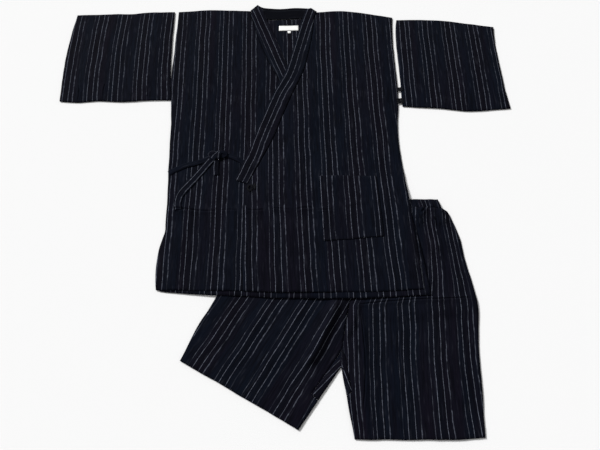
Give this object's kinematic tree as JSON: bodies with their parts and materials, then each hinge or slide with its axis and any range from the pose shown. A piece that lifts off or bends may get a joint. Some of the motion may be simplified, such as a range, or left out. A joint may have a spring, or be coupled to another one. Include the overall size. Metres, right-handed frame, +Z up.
{
  "type": "jinbei set: wrap top and shorts, laid out flat",
  "caption": "Wrap top with a long crossed collar, side ties, patch pocket and straight sleeves, laid flat over gathered wide-leg shorts.",
  "frame": {"origin": "middle of the laid set's outline, on the surface that it lies on", "axes": "+X from sleeve to sleeve, to the right as seen from above with the shoulders at the top; +Y from the hems towards the shoulders; +Z up, out of the cloth"},
  "size_m": [1.1777, 1.1548, 0.0129],
  "materials": {
    "striped_cloth": "dark navy crepe cotton with thin pale slub stripes",
    "collar_cloth": "the same cotton, folded double, stripes along it",
    "tie_cloth": "the same cotton, folded and stitched narrow",
    "thread": "dark crossed cotton thread",
    "label_cloth": "plain white woven tape, bare"
  },
  "bodies": {
    "root": {"back": "striped_cloth", "front_under": "striped_cloth", "front_over": "striped_cloth", "pocket": "striped_cloth", "sleeve_left_back": "striped_cloth", "sleeve_left_front": "striped_cloth", "sleeve_right_back": "striped_cloth", "sleeve_right_front": "striped_cloth", "shorts_back_left": "striped_cloth", "shorts_back_right": "striped_cloth", "shorts_front_left": "striped_cloth", "shorts_front_right": "striped_cloth", "gusset_back": "striped_cloth", "gusset_front": "striped_cloth", "waistband_back": "striped_cloth", "waistband_front": "striped_cloth", "collar_back": "collar_cloth", "collar_under": "collar_cloth", "collar_over": "collar_cloth", "tie_side": "tie_cloth", "tie_collar": "tie_cloth", "tie_tail": "tie_cloth", "tie_end": "tie_cloth", "tie_knot": "tie_cloth", "thread_bar_1": "thread", "thread_bar_2": "thread", "neck_label": "label_cloth", "size_tab": "label_cloth"}
  },
  "joints": []
}
